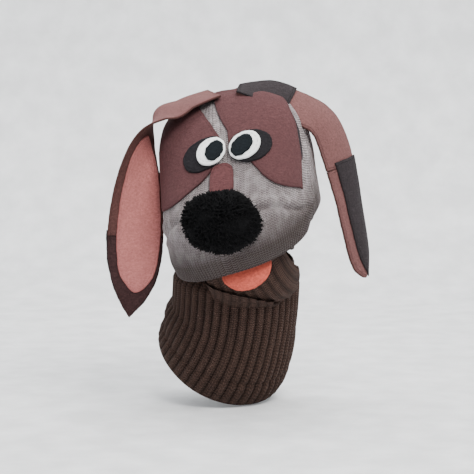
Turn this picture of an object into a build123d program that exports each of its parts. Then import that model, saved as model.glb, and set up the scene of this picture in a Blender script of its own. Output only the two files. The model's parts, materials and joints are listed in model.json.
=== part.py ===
"""Dog hand puppet made from a knitted sock: a stretchy rib sleeve for the forearm and a stuffed head
whose face is built up from felt. Millimetres, +Z up, the face looks along -Y. Left and right are the
puppet's own. The origin is the middle of the arm opening."""
import os
from math import cos, radians, sin

from build123d import *

# ---- fabrics -------------------------------------------------------------------------------------
knit = 1.6              # stockinette and rib, relaxed
felt = 1.2              # craft felt
eye_felt = 1.8          # thicker felt of the eye whites
ear_ply = 1.6
card = 2.0              # stiffener of the mouth
lay = 0.05              # between two layers sewn or glued together
free_gap = 0.5          # between layers that move against each other

# ---- sleeve --------------------------------------------------------------------------------------
opening_radius = 42.0
hem_height = 12.0
hem_wall = 3.0
opening_lean_side = 25.0        # the opening's axis, away from straight down
opening_lean_back = 31.0
wrist = Vector(11, -18, 62)     # where the wearer's wrist bends
wrist_axis = Vector(0.07, -0.20, 0.98).normalized()     # the sleeve's own top
skirt_axis = Vector(-0.08, -0.10, 0.99).normalized()    # square to the nape's lower edge
belly_radius = 44.0
neck_radius = 38.0              # outside of the wrist band
band_half_height = 8.0
collar_rise = 6.0               # top of the sleeve's ball-shaped collar above the wrist
skirt_rise = 4.0                # lower edge of the nape above the wrist
shoulder_radius = 39.0
shoulder_drop = 24.0            # from the wrist down to the sleeve's shoulder

# ---- head ----------------------------------------------------------------------------------------
head_middle = Vector(31, -18, 70)
head_roll = 13.0                # leans to the puppet's right
head_turn = 16.0                # looks to the puppet's right
crown_height = 112.0
head_depth_front = 73.0
head_depth_back = 41.0
head_half_width = 48.0
mouth_slope_back = 0.33         # the mouth rises to the back
mouth_slope_side = 0.10
mouth_line = 4.0                # height of the upper lip
padding_level = 60.0            # the stuffing fills the head above this
mouth_back = -14.0

# ---- face, as (across, up) on the face -------------------------------------------------------------
eye_right = (-8.5, 77.5)
eye_left = (15.0, 77.0)
eye_size = (10.4, 9.4)
pupil_size = (7.0, 6.6)
pupil_squint = 2.2
nose_centre = Vector(-3.5, -76, 34)
nose_radius = 20.5
nose_half_width = 26.5

# ---- jaw and tongue ----------------------------------------------------------------------------------
jaw_reach = 42.0
jaw_half_width = 27.0
jaw_heel = 10.0                 # the jaw's stiff pieces start this far in front of the hinge
jaw_across = -6.0
jaw_sweep = 38.0                # how far down the chin wraps, degrees
notch_margin = 9.0              # at each end of the jaw, in the wrist band and the collar
tongue_width = 34.0
tongue_length = 22.0
tongue_across = 3.0

# ---- ears ----------------------------------------------------------------------------------------
ear_width = 37.0
lining_border = 5.0
left_ear_width = 30.0
spot_end = 44.0                 # outer end of the dark spot on the left ear

head_up = Vector(0, 0, 1).rotate(Axis.Y, -head_roll)
head_across = Vector(1, 0, 0).rotate(Axis.Z, -head_turn).rotate(Axis.Y, -head_roll)
head_frame = Plane(origin=head_middle, x_dir=head_across, z_dir=head_up)
face_plane = Plane(head_frame.from_local_coords(Vector(0, -120, 0)), x_dir=head_across,
                   z_dir=head_frame.y_dir * -1)


def in_head(x, y, z):
    """A point given across, back and up from the middle of the head."""
    return head_frame.from_local_coords(Vector(x, y, z))


def head_direction(x, y, z):
    return (in_head(x, y, z) - head_middle).normalized()


mouth_plane = Plane(in_head(0, -60, mouth_line), x_dir=head_direction(1, 0, mouth_slope_side),
                    z_dir=head_direction(-mouth_slope_side, -mouth_slope_back, 1))
jaw_hinge_depth = -18.0
hinge_drop = free_gap + 2 * felt + card + 4 * lay
jaw_hinge = (in_head(jaw_across, jaw_hinge_depth,
                     mouth_line + mouth_slope_back * (60 + jaw_hinge_depth) + mouth_slope_side * jaw_across)
             - mouth_plane.z_dir * hinge_drop)
jaw_forward = mouth_plane.y_dir * -1


# ---- forms -----------------------------------------------------------------------------------------
def head_slices():
    """Height, front, back, half width, middle and corner radius of the head's level outlines."""
    front, back, side = head_depth_front, head_depth_back, head_half_width
    top = crown_height
    pivot = head_frame.to_local_coords(wrist)
    skirt = neck_radius + free_gap + knit
    return (
        (pivot.Z - 8, skirt - pivot.Y, skirt + pivot.Y, skirt, pivot.X, skirt - 0.6),
        (pivot.Z + 6, skirt - pivot.Y, skirt + pivot.Y, skirt, pivot.X, skirt - 0.6),
        (14, 0.98 * front, 0.94 * back, 0.95 * side, -8, 31),
        (0.25 * top, front, 0.95 * back, 0.99 * side, -4.5, 31),
        (0.42 * top, 0.90 * front, back, side, -4, 31),
        (0.59 * top, 0.72 * front, back, side, -3, 31),
        (0.72 * top, 0.55 * front, 0.98 * back, 0.97 * side, -2.5, 29),
        (0.84 * top, 0.36 * front, 0.89 * back, 0.865 * side, -3.5, 25),
        (0.91 * top, 0.22 * front, 0.78 * back, 0.72 * side, -6, 19),
        (0.965 * top, 0.08 * front, 0.63 * back, 0.52 * side, -8, 11),
        (top, -0.05 * front, 0.46 * back, 0.31 * side, -9, 4.5),
    )


def head_form(grow):
    """The head and nape as one closed body, swollen or shrunk by grow, down to the wrist."""
    middle = crown_height / 2
    with BuildPart() as form:
        for height, front, back, half_width, centre, corner in head_slices():
            level = height + grow * max(0, height - middle) / middle
            with BuildSketch(head_frame.offset(level)):
                with Locations((centre, (back - front) / 2)):
                    RectangleRounded(2 * (half_width + grow), front + back + 2 * grow, corner + grow)
        loft(ruled=True)
    return form.part


def jaw_side(margin):
    """The hinge's own plane at one end of the jaw: its X runs forward, its Y down."""
    end = jaw_hinge - mouth_plane.x_dir * (jaw_half_width + margin)
    return Plane(end, x_dir=jaw_forward, z_dir=mouth_plane.x_dir)


def jaw_point(reach, angle):
    """A point of the hinge's own plane, below the mouth by the angle."""
    return (reach * cos(radians(angle)), reach * sin(radians(angle)))


def notch_form():
    """The room in front of the wrist that the jaw moves in while the head tilts and nods."""
    with BuildPart() as room:
        with BuildSketch(jaw_side(notch_margin)):
            Polygon((-8, -25), (60, -25), (60, 52), (24, 52), (-8, 18), align=None)
        extrude(amount=2 * (jaw_half_width + notch_margin))
    return room.part


def jaw_sector(reach, start, stop, margin):
    """A slice of pie about the hinge, as wide as the jaw and a margin at each end."""
    with BuildPart() as sector:
        with BuildSketch(jaw_side(margin)):
            with BuildLine():
                Line((0, 0), jaw_point(reach, start))
                ThreePointArc(jaw_point(reach, start), jaw_point(reach, (start + stop) / 2),
                              jaw_point(reach, stop))
                Line(jaw_point(reach, stop), (0, 0))
            make_face()
        extrude(amount=2 * (jaw_half_width + margin))
    return sector.part


def front_block(behind, height):
    """Everything in front of the hinge line and below a height over the hinge."""
    side = Plane(jaw_hinge - mouth_plane.x_dir * 90, x_dir=jaw_forward, z_dir=mouth_plane.x_dir)
    with BuildPart() as block:
        with BuildSketch(side):
            with BuildLine():
                Polyline((-behind, -height), (100, -height), (100, 90), (-behind, 90), close=True)
            make_face()
        extrude(amount=180)
    return block.part


def face_prism(outline):
    """Everything in front of the middle of the head inside an outline drawn on the face."""
    with BuildPart() as prism:
        with BuildSketch(face_plane):
            add(outline)
        extrude(amount=-128)
    return prism.part


def face_felt(outline, inner, thickness):
    """A piece of felt cut to an outline and laid on the head, inner above the knit."""
    return head_form(inner + thickness) - head_form(inner) & face_prism(outline)


def collar_form(grow):
    """The turned top of the sleeve: a ball about the wrist on a flared shoulder."""
    ball = collar_radius + grow
    low = -(band_half_height + 8)
    rim = ((ball ** 2 - collar_rise ** 2) ** 0.5, collar_rise)
    waist = ((ball ** 2 - low ** 2) ** 0.5, low)
    with BuildPart() as form:
        with BuildSketch(collar_plane):
            with BuildLine():
                Line((0, collar_rise), rim)
                ThreePointArc(rim, (ball, 0), waist)
                Polyline(waist, (shoulder_radius + grow, -shoulder_drop), (0, -shoulder_drop),
                         (0, collar_rise))
            make_face()
        revolve(axis=Axis(wrist, wrist_axis))
    return form.part


def belly_form(grow):
    """The bent tube from the shoulder down to the hem."""
    shoulder = wrist - wrist_axis * shoulder_drop
    hem_top = opening_axis * -hem_height
    with BuildPart() as form:
        with BuildSketch(Plane(shoulder, x_dir=(1, 0, 0), z_dir=wrist_axis * -1)):
            Circle(shoulder_radius + grow)
        middle_axis = (opening_axis - wrist_axis).normalized()
        with BuildSketch(Plane((shoulder + hem_top) * 0.5, x_dir=(1, 0, 0), z_dir=middle_axis)):
            Circle(belly_radius + grow)
        with BuildSketch(Plane(hem_top, x_dir=(1, 0, 0), z_dir=opening_axis)):
            Circle(opening_radius + hem_wall - 0.6 + grow)
        loft()
    return form.part


opening_axis = Vector(
    -sin(radians(opening_lean_side)) * cos(radians(opening_lean_back)),
    sin(radians(opening_lean_back)),
    -cos(radians(opening_lean_side)) * cos(radians(opening_lean_back)),
)
opening_plane = Plane(Vector(0, 0, 0), x_dir=Vector(0, 1, 0).cross(opening_axis), z_dir=opening_axis)
collar_out = Vector(0, 1, 0).cross(wrist_axis).normalized()
collar_plane = Plane(wrist, x_dir=collar_out, z_dir=collar_out.cross(wrist_axis))
collar_radius = neck_radius - knit - free_gap        # outside of the sleeve's ball-shaped top
head_skin = head_form(0)
head_inside = head_form(-knit)
mouth_cut = front_block(2 + free_gap, hinge_drop)
jaw_notch = notch_form()


# ---- sleeve --------------------------------------------------------------------------------------
collar_outside = collar_form(0)
collar_inside = collar_form(-knit)
with BuildPart() as rib_collar:
    add(collar_outside)
    add(collar_inside, mode=Mode.SUBTRACT)
    add(jaw_notch, mode=Mode.SUBTRACT)

belly_outside = belly_form(0)
belly_inside = belly_form(-knit)
with BuildPart() as rib_sleeve:
    add(belly_outside)
    add(belly_inside, mode=Mode.SUBTRACT)

with BuildPart() as cuff_hem:
    with BuildSketch(opening_plane):
        Circle(opening_radius + hem_wall)
        Circle(opening_radius, mode=Mode.SUBTRACT)
    extrude(amount=-hem_height)

# ---- wrist band --------------------------------------------------------------------------------------
with BuildPart() as rib_wrist:
    with BuildSketch(collar_plane):
        Circle(neck_radius)
        Circle(neck_radius - knit, mode=Mode.SUBTRACT)
        Rectangle(3 * neck_radius, 2 * band_half_height, mode=Mode.INTERSECT)
        with Locations((-neck_radius, 0)):
            Rectangle(2 * neck_radius, 2 * neck_radius, mode=Mode.SUBTRACT)
    revolve(axis=Axis(wrist, wrist_axis))
    add(jaw_notch, mode=Mode.SUBTRACT)

# ---- head shell ------------------------------------------------------------------------------------
with BuildPart(Plane(wrist)) as wrist_clearance:
    Sphere(neck_radius + free_gap)
wrist_ball = wrist_clearance.part
with BuildPart() as head_shell:
    add(head_skin)
    add(head_inside, mode=Mode.SUBTRACT)
    add(mouth_cut, mode=Mode.SUBTRACT)
    add(wrist_ball, mode=Mode.SUBTRACT)
    split(bisect_by=Plane(wrist + skirt_axis * skirt_rise, z_dir=skirt_axis), keep=Keep.TOP)

padding_top = head_form(-knit - lay)
with BuildPart() as head_padding:
    add(padding_top)
    split(bisect_by=head_frame.offset(padding_level), keep=Keep.TOP)

# ---- mouth -----------------------------------------------------------------------------------------
mouth_inside = head_form(-knit - 0.3)


def mouth_slab(low, high):
    """A flat layer of the upper mouth, in front of the wrist, between two heights over the rim."""
    behind = Plane(in_head(0, mouth_back, 0), x_dir=head_across, z_dir=head_frame.y_dir)
    with BuildPart() as slab:
        with BuildSketch(mouth_plane.offset(low)):
            with Locations((0, 20)):
                Rectangle(160, 160)
        extrude(amount=high - low)
        split(bisect_by=behind, keep=Keep.BOTTOM)
    return slab.part


lining_slab = mouth_slab(0, felt)
plate_slab = mouth_slab(felt + lay, felt + lay + card)
with BuildPart() as mouth_lining_upper:
    add(mouth_inside)
    add(lining_slab, mode=Mode.INTERSECT)
    add(wrist_ball, mode=Mode.SUBTRACT)

with BuildPart() as mouth_plate_upper:
    add(mouth_inside)
    add(plate_slab, mode=Mode.INTERSECT)
    add(wrist_ball, mode=Mode.SUBTRACT)


def jaw_layer(low, high, inset):
    """A flat layer of the lower jaw at a height over the hinge."""
    level = Plane(jaw_hinge + mouth_plane.z_dir * low, x_dir=mouth_plane.x_dir, z_dir=mouth_plane.z_dir)
    length = jaw_reach - inset - jaw_heel
    with BuildPart() as layer:
        with BuildSketch(level):
            with Locations((0, -jaw_heel - length / 2)):
                RectangleRounded(2 * (jaw_half_width - inset), length, 14)
        extrude(amount=high - low)
    return layer.part


mouth_plate_lower = jaw_layer(lay, lay + card, 1.0)
mouth_lining_lower = jaw_layer(2 * lay + card, 2 * lay + card + felt, 0.4)

chin_outside = jaw_sector(jaw_reach, 0, jaw_sweep, 0)
chin_inside = jaw_sector(jaw_reach - knit, -5, jaw_sweep + 5, -knit)
chin_back = jaw_sector(jaw_heel + 6, -5, jaw_sweep + 5, 5)
with BuildPart() as chin_pocket:
    add(chin_outside)
    add(chin_inside, mode=Mode.SUBTRACT)
    add(chin_back, mode=Mode.SUBTRACT)

# ---- tongue ----------------------------------------------------------------------------------------
tongue_root = jaw_hinge + jaw_forward * (jaw_reach + felt + free_gap) + mouth_plane.z_dir * 2 \
    + mouth_plane.x_dir * (tongue_across - jaw_across)
tongue_up = Vector(0, 0.14, 1).normalized()
tongue_plane = Plane(tongue_root, x_dir=mouth_plane.x_dir,
                     z_dir=mouth_plane.x_dir.cross(tongue_up - mouth_plane.x_dir
                                                   * mouth_plane.x_dir.dot(tongue_up)))
with BuildPart() as tongue:
    with BuildSketch(tongue_plane):
        with Locations((0, -tongue_length * 0.2)):
            Rectangle(tongue_width, tongue_length * 0.4)
        with Locations((0, -tongue_length * 0.4)):
            Ellipse(tongue_width / 2, tongue_length * 0.6)
        with Locations((0, tongue_length)):
            Rectangle(2 * tongue_width, 2 * tongue_length, mode=Mode.SUBTRACT)
    extrude(amount=-felt)


# ---- felt face -------------------------------------------------------------------------------------
with BuildSketch() as patch_right_outline:
    with BuildLine():
        Polyline((-23, 112), (-2, 84), (-3, 79))
        Spline((-3, 79), (-8, 65), (-21, 56), (-38, 48), (-56, 44))
        Polyline((-56, 44), (-56, 112), (-23, 112))
    make_face()

with BuildSketch() as patch_left_outline:
    with BuildLine():
        Polyline((-12, 112), (3, 86), (4, 79))
        Spline((4, 79), (17, 67), (29, 52), (45, 41))
        Spline((45, 41), (46, 62), (43, 82), (38, 112))
        Line((38, 112), (-12, 112))
    make_face()

with BuildSketch() as bridge_outline:
    with BuildLine():
        Line((-9, 48), (7, 48))
        Spline((7, 48), (6.5, 62), (-1, 67), (-8.5, 62), (-9, 48))
    make_face()


def oval(centre, size, turn=0.0):
    with BuildSketch() as outline:
        with Locations(Location((centre[0], centre[1], 0), (0, 0, turn))):
            Ellipse(*size)
    return outline.sketch




squint_right = (eye_right[0] + pupil_squint, eye_right[1] - 0.6)
squint_left = (eye_left[0] - pupil_squint, eye_left[1] - 0.6)
patch_low = lay
surround_low = patch_low + felt + lay
white_low = surround_low + felt + lay
pupil_low = white_low + eye_felt + lay
face_pieces = {
    "eye_patch_right": face_felt(patch_right_outline.sketch, patch_low, felt),
    "eye_patch_left": face_felt(patch_left_outline.sketch, patch_low, felt),
    "eye_surround_right": face_felt(oval((-12.5, 76.5), (14.6, 10.6), 12), surround_low, felt),
    "eye_surround_left": face_felt(oval((17.5, 76), (13.6, 10.4), -8), surround_low, felt),
    "eye_white_right": face_felt(oval(eye_right, eye_size), white_low, eye_felt),
    "eye_white_left": face_felt(oval(eye_left, eye_size), white_low, eye_felt),
    "pupil_right": face_felt(oval(squint_right, pupil_size), pupil_low, felt),
    "pupil_left": face_felt(oval(squint_left, pupil_size), pupil_low, felt),
    "nose_bridge": face_felt(bridge_outline.sketch, patch_low, felt),
}

nose_plane = Plane(in_head(*nose_centre), x_dir=head_across, z_dir=head_up)
nose_back = Plane(in_head(0, -head_depth_front - felt, 0), x_dir=head_across, z_dir=head_frame.y_dir)
nose_form = nose_plane.location * scale(Sphere(nose_radius), by=(nose_half_width / nose_radius, 1, 1))
with BuildPart() as nose_pompom:
    add(nose_form)
    split(bisect_by=nose_back, keep=Keep.BOTTOM)


# ---- ears ------------------------------------------------------------------------------------------
right_ear_path = (
    (Vector(-8, -16, 180), Vector(0.05, 0.93, 0.33), 0.92),
    (Vector(-29, -20, 175.5), Vector(0.25, 0.87, 0.42), 0.97),
    (Vector(-45, -27, 160), Vector(0.4, 0.85, 0.3), 0.97),
    (Vector(-51.5, -31, 138), Vector(0.6, 0.8, 0.0), 0.93),
    (Vector(-54, -33, 107), Vector(0.88, 0.47, 0), 1.0),
    (Vector(-55.5, -33, 80), Vector(0.97, 0.2, 0), 1.0),
    (Vector(-57, -32, 55), Vector(1, 0, 0), 0.78),
    (Vector(-60, -31, 30), Vector(1, 0, 0), 0.12),
)
left_ear_path = (
    (Vector(20, -14, 184.5), Vector(0, -1, -0.02), 1.1),
    (Vector(44, -16, 181), Vector(-0.1, -1, -0.15), 1.12),
    (Vector(65, -19, 165), Vector(-0.3, -0.9, -0.25), 1.1),
    (Vector(73, -21, 141), Vector(-0.45, -0.85, -0.15), 1.05),
    (Vector(81.5, -21, 117), Vector(-0.5, -0.85, -0.1), 1.0),
    (Vector(87.5, -20, 94), Vector(-0.5, -0.85, -0.1), 0.95),
    (Vector(92, -19, 73), Vector(-0.5, -0.85, -0.1), 0.75),
    (Vector(95.5, -18, 55), Vector(-0.5, -0.85, -0.1), 0.35),
)


def ear_form(path, width, low, high, border=0.0):
    """A layer of an ear between two heights on its inner side, along a twisting path."""
    with BuildPart() as form:
        for index, (point, across, share) in enumerate(path):
            before = path[max(index - 1, 0)][0]
            after = path[min(index + 1, len(path) - 1)][0]
            station = Plane(point, x_dir=across, z_dir=(after - before))
            with BuildSketch(station):
                with Locations((0, (low + high) / 2)):
                    Rectangle(max(width * share - 2 * border, 2.0), high - low)
        loft()
    return form.part


def ear_cut(height, keep):
    """Everything above or below a level, to sew an ear's tip to its upper part."""
    with BuildPart() as half:
        with BuildSketch(Plane.XY.offset(height)):
            Rectangle(600, 600)
        extrude(amount=300 if keep == "above" else -300)
    return half.part


ear_sides = {"right": (right_ear_path, ear_width, 84.0, 136.0, 47.0),
             "left": (left_ear_path, left_ear_width, 129.0, 150.0, 62.0)}
ear_pieces = {}
ear_clearance = head_form(patch_low + felt + free_gap)
for side, (path, width, seam, lining_top, lining_end) in ear_sides.items():
    cloth = ear_form(path, width, -ear_ply, 0) - ear_clearance
    overlay = ear_form(path, width, -ear_ply - lay - felt, -ear_ply - lay, 1.0)
    lining = ear_form(path, width, lay, lay + felt, lining_border)
    ear_pieces[f"ear_outer_{side}"] = cloth & ear_cut(seam, "above")
    ear_pieces[f"ear_tip_{side}"] = cloth & ear_cut(seam, "below")
    ear_pieces[f"ear_tip_facing_{side}"] = overlay & ear_cut(seam + 4, "below")
    ear_pieces[f"ear_lining_{side}"] = (lining & ear_cut(lining_top, "below")
                                        & ear_cut(lining_end, "above"))

spot_form = ear_form(left_ear_path, left_ear_width, -ear_ply - lay - felt, -ear_ply - lay, 0.5)
with BuildPart() as ear_spot_left:
    add(spot_form)
    split(bisect_by=Plane.YZ.offset(spot_end), keep=Keep.BOTTOM)
ear_pieces["ear_spot_left"] = ear_spot_left.part

# ---- writing the pieces --------------------------------------------------------------------------
pieces = {
    "rib_sleeve": rib_sleeve.part,
    "rib_collar": rib_collar.part,
    "cuff_hem": cuff_hem.part,
    "rib_wrist": rib_wrist.part,
    "head_shell": head_shell.part,
    "head_padding": head_padding.part,
    "mouth_lining_upper": mouth_lining_upper.part,
    "mouth_plate_upper": mouth_plate_upper.part,
    "mouth_plate_lower": mouth_plate_lower,
    "mouth_lining_lower": mouth_lining_lower,
    "chin_pocket": chin_pocket.part,
    "tongue": tongue.part,
    "nose_pompom": nose_pompom.part,
    **face_pieces,
    **ear_pieces,
}
os.makedirs("parts", exist_ok=True)
for name, piece in pieces.items():
    piece.label = name
    export_step(piece, f"parts/{name}.step")
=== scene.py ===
import json
import math

import bmesh
import bpy
import numpy as np
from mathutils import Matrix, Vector
from mathutils.bvhtree import BVHTree
from mathutils.geometry import delaunay_2d_cdt


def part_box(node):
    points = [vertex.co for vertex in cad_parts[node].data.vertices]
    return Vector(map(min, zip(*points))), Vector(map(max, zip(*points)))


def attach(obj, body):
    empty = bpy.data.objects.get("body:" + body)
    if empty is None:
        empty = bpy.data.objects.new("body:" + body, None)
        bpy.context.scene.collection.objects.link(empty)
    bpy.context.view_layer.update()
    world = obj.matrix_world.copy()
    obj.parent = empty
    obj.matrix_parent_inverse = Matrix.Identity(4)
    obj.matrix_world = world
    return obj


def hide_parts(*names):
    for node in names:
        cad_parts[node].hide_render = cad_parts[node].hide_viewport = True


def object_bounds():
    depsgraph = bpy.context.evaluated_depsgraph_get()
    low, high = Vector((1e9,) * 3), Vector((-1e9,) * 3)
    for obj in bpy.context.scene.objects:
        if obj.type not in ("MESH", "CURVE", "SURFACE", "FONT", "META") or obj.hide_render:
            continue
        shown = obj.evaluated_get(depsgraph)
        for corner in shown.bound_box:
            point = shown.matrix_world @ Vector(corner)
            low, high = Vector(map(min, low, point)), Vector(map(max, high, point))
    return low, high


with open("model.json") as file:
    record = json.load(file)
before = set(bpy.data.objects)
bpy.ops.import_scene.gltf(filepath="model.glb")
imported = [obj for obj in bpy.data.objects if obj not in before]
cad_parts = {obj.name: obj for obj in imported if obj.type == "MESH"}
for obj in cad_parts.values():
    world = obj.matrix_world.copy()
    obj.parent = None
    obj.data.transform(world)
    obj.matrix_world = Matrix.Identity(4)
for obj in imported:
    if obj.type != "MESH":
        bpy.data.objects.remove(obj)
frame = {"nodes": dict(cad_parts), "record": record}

cad_box = [[float(c) for c in corner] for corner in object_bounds()]
rng = np.random.default_rng(7)
MM = 0.001

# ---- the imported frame: joints, the head's own axes ---------------------------------------------------
joints = {joint["name"]: joint for joint in frame["record"]["behaviour"]["joints"]}
wrist = np.array(joints["neck_tilt"]["pos_m"]) / MM
across = np.array(joints["neck_nod"]["axis"])
head_roll = math.atan2(across[2], across[0])
up = np.array([-math.sin(head_roll), 0.0, math.cos(head_roll)])
back = np.cross(up, across)
head_middle = np.array([31.0, -18.0, 70.0])
opening_axis = np.array(frame["record"]["mounts"][0]["axis"])
jaw_hinge = np.array(joints["jaw_open"]["pos_m"]) / MM
jaw_across = np.array(joints["jaw_open"]["axis"])
mouth_up = np.cross(jaw_across, back)
mouth_up /= np.linalg.norm(mouth_up)


def to_world(points):
    """Head points (across, back, up) in millimetres to the row frame in millimetres."""
    points = np.asarray(points, float)
    return head_middle + points[..., :1] * across + points[..., 1:2] * back + points[..., 2:3] * up


pivot = np.array([(wrist - head_middle) @ across, (wrist - head_middle) @ back,
                  (wrist - head_middle) @ up])


def smooth(t):
    t = np.clip(t, 0.0, 1.0)
    return t * t * (3 - 2 * t)


def spline(values, t):
    """A smooth curve through evenly spaced values, t from 0 to 1."""
    values = np.asarray(values, float)
    count = len(values) - 1
    x = np.clip(np.asarray(t, float), 0, 1) * count
    i = np.minimum(x.astype(int), count - 1)
    f = x - i
    if values.ndim > 1:
        f = f[..., None]
    before = values[np.maximum(i - 1, 0)]
    after = values[np.minimum(i + 2, count)]
    a, b = values[i], values[i + 1]
    return 0.5 * (2 * a + (b - before) * f + (2 * before - 5 * a + 4 * b - after) * f ** 2
                  + (3 * a - before - 3 * b + after) * f ** 3)


# ---- the head's surface --------------------------------------------------------------------------------
# Slices of the head, by height above its middle, all in millimetres: the reach in front, behind and to
# each side, and the shift of the slice across the head.
CROWN = 112.0
LEVELS = np.array([-12, 4, 14, 27, 45, 63, 80, 94, 102, 108, CROWN])
FRONT = np.array([60, 68, 72.5, 73.5, 67, 54, 40.5, 26.5, 16, 6, -4.0])
BACK = np.array([30, 35, 38.5, 39, 41, 41, 40, 36.5, 32, 26, 19.0])
SIDE = np.array([40, 46, 48, 48, 48, 48.5, 48, 43.5, 36, 25.5, 15.0])
MIDDLE = np.array([-6, -6, -5.5, -4.5, -4, -3.5, -4, -5.5, -7.5, -8.5, -9.0])
SQUARENESS = 2.75
DOME_START = 105.0
NAPE_RADIUS = 40.3
TOP_ROW = CROWN - 0.02


def slice_values(table, z):
    """A slice value at a height, by a monotone cubic through the table."""
    h = np.diff(LEVELS)
    slope = np.diff(table) / h
    m = np.concatenate([[slope[0]], np.where(slope[:-1] * slope[1:] > 0,
                       2 * slope[:-1] * slope[1:] / (slope[:-1] + slope[1:] + 1e-9), 0), [slope[-1]]])
    z = np.clip(z, LEVELS[0], LEVELS[-1])
    i = np.clip(np.searchsorted(LEVELS, z) - 1, 0, len(h) - 1)
    t = (z - LEVELS[i]) / h[i]
    return ((2 * t ** 3 - 3 * t ** 2 + 1) * table[i] + (t ** 3 - 2 * t ** 2 + t) * h[i] * m[i]
            + (-2 * t ** 3 + 3 * t ** 2) * table[i + 1] + (t ** 3 - t ** 2) * h[i] * m[i + 1])


def power(value, exponent):
    """A power that keeps the sign of its base."""
    return np.sign(value) * np.abs(value) ** exponent


def nape_share(angle):
    """0 over the muzzle, 1 over the back of the head."""
    return smooth((np.abs(angle) - math.radians(72)) / math.radians(38))


def head_point(angle, z):
    """Angle from the front towards the puppet's left, height; gives (across, back, up)."""
    front, rear, side = (slice_values(t, z) for t in (FRONT, BACK, SIDE))
    dome = np.clip((z - DOME_START) / (CROWN - DOME_START), 0, 1)
    cap = np.sqrt(np.clip(1 - dome ** 2.2, 0, 1))
    depth = (front + rear) / 2
    x = slice_values(MIDDLE, z) + side * cap * power(np.sin(angle), 2 / SQUARENESS)
    y = (rear - front) / 2 - depth * cap * power(np.cos(angle), 2 / SQUARENESS)
    nx = pivot[0] + NAPE_RADIUS * np.sin(angle)
    ny = pivot[1] - NAPE_RADIUS * np.cos(angle)
    share = nape_share(angle) * smooth((30.0 - z) / 28.0)
    return np.stack([x + (nx - x) * share, y + (ny - y) * share, z + 0 * x], -1)


def head_normal(angle, z):
    """The outward unit normal of the head's surface."""
    a = head_point(angle + 0.01, z) - head_point(angle - 0.01, z)
    b = head_point(angle, np.minimum(z + 0.4, TOP_ROW)) - head_point(angle, z - 0.4)
    n = np.cross(a, b)
    return n / np.maximum(np.linalg.norm(n, axis=-1, keepdims=True), 1e-9)


def face_angle(x, z):
    """The angle of a point across the face; past the side of the face it wraps round."""
    u = (np.asarray(x, float) - slice_values(MIDDLE, z)) / slice_values(SIDE, z)
    edge = 0.95
    inside = np.arcsin(np.clip(np.abs(u), 0, edge) ** (SQUARENESS / 2))
    wrap = np.clip(np.abs(u) - edge, 0, None) * 1.15
    return np.sign(u) * (inside + wrap)


# Each crease: its line across the face, and its depth.
CREASES = (
    (np.array([[21.0, 37.5], [29, 37], [35, 34.5], [41.0, 30.0]]), 2.2),
    (np.array([[-29.0, 39.5], [-37, 38], [-44, 34.0], [-49, 28.5]]), 1.3),
)


def crease_push(x, z):
    """Sewn tucks at the corners of the muzzle: a groove with a soft roll above it."""
    push = np.zeros_like(x)
    for line, depth in CREASES:
        best = np.full(x.shape, 1e9)
        above = np.zeros_like(x)
        for p, q in zip(line[:-1], line[1:]):
            d = q - p
            t = np.clip(((x - p[0]) * d[0] + (z - p[1]) * d[1]) / (d @ d), 0, 1)
            dx, dz = x - p[0] - t * d[0], z - p[1] - t * d[1]
            dist = np.hypot(dx, dz)
            above = np.where(dist < best, dz, above)
            best = np.minimum(best, dist)
        push += -depth * np.exp(-(best / 1.5) ** 2)
        push += 1.3 * np.exp(-((best - 4.2) / 2.6) ** 2) * (above > 0)
        push += 0.6 * np.exp(-((best - 3.5) / 2.2) ** 2) * (above <= 0)
    return push


def soft_noise(points, scale, seed=0.0):
    """A cheap smooth noise of three crossed waves."""
    p = np.asarray(points) / scale
    total = np.zeros(p.shape[:-1])
    for k, (a, b, c) in enumerate(((1.0, 0.7, 0.3), (-0.6, 1.1, 0.5), (0.4, -0.9, 1.2), (1.3, 0.2, -0.8))):
        total += np.sin(a * p[..., 0] + b * p[..., 1] + c * p[..., 2] + seed + 1.7 * k)
    return total / 4


# ---- meshes --------------------------------------------------------------------------------------------
def make_object(name, points, faces, uvs=None):
    """A smooth-shaded mesh; points in millimetres of the row frame."""
    mesh = bpy.data.meshes.new(name)
    mesh.from_pydata((np.asarray(points) * MM).tolist(), [], [list(map(int, f)) for f in faces])
    mesh.validate()
    if uvs is not None:
        layer = mesh.uv_layers.new(name="stitch")
        loops = np.zeros(len(mesh.loops), int)
        mesh.loops.foreach_get("vertex_index", loops)
        layer.data.foreach_set("uv", np.asarray(uvs, np.float32)[loops].ravel())
    mesh.polygons.foreach_set("use_smooth", [True] * len(mesh.polygons))
    obj = bpy.data.objects.new(name, mesh)
    bpy.context.scene.collection.objects.link(obj)
    return obj


def grid_faces(rows, columns, closed):
    """Quads of a grid of points given row by row; a closed grid joins its last column to its first."""
    faces = []
    wide = columns if closed else columns - 1
    for r in range(rows - 1):
        low, high = r * columns, (r + 1) * columns
        for c in range(wide):
            d = (c + 1) % columns
            faces.append((low + c, low + d, high + d, high + c))
    return faces


def finish(obj, material, body, replaced=(), back=None):
    """Gives a piece its material, its body and the CAD nodes that it stands in for."""
    obj.data.materials.clear()
    obj.data.materials.append(material)
    if back is not None:
        obj.data.materials.append(back)
        index = [int(k >= obj["back_from"]) for k in range(len(obj.data.polygons))]
        obj.data.polygons.foreach_set("material_index", index)
    if replaced:
        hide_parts(*replaced)
    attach(obj, body)


# ---- materials -----------------------------------------------------------------------------------------
def linear(rgb):
    """An sRGB colour from 0 to 255 as linear light."""
    out = []
    for c in rgb:
        c = c / 255
        out.append(c / 12.92 if c <= 0.04045 else ((c + 0.055) / 1.055) ** 2.4)
    return (*out, 1.0)


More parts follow.
